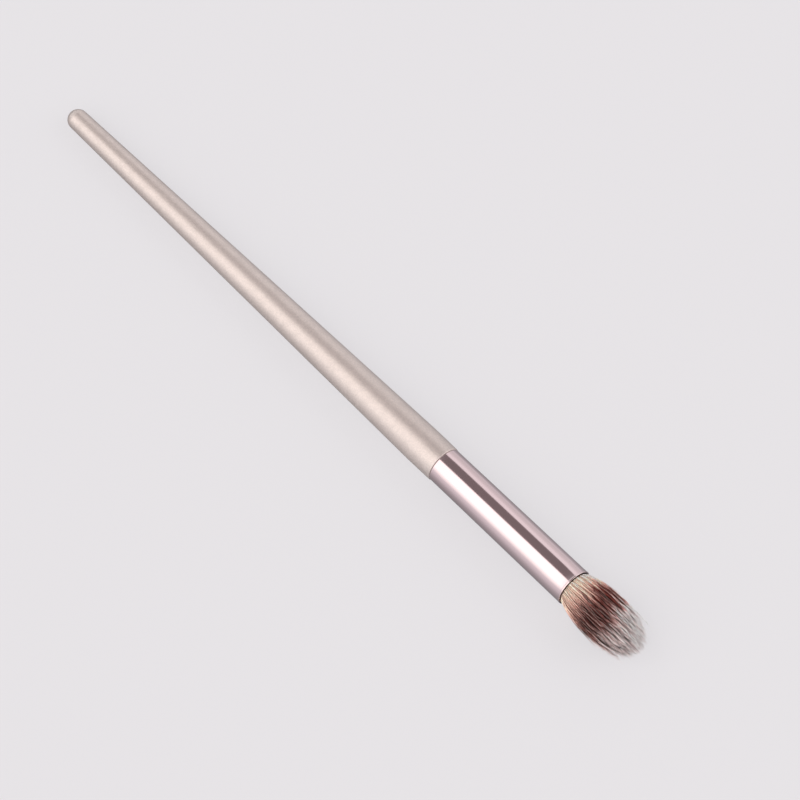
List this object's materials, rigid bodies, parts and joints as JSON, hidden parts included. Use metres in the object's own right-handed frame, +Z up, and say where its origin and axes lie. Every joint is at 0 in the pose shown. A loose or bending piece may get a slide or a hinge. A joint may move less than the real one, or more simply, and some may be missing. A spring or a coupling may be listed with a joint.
{
  "type": "eyeshadow brush",
  "caption": "Slim eyeshadow blending brush: tapered turned handle, smooth metal ferrule and a full round tuft of banded filaments, lying on its side.",
  "frame": {"origin": "centre of the bounding box at its base, on the surface that the brush lies on", "axes": "+X along the brush from the butt of the handle to the tip of the tuft, +Z up from the surface it lies on"},
  "size_m": [0.17, 0.0104, 0.0101],
  "materials": {
    "lacquered_handle": "champagne pearl lacquer with fine flake, satin",
    "ferrule_metal": "pale rose gold anodised, polished",
    "adhesive": "amber, cured",
    "potting": "pale epoxy, cured",
    "filament": "soft tapered filaments, cream at the root, dark brown in the middle, grey white at the tips"
  },
  "bodies": {
    "root": {"handle": "lacquered_handle", "ferrule": "ferrule_metal", "tenon_glue": "adhesive", "resin_plug": "potting", "bristle_tuft": "filament"}
  },
  "joints": []
}
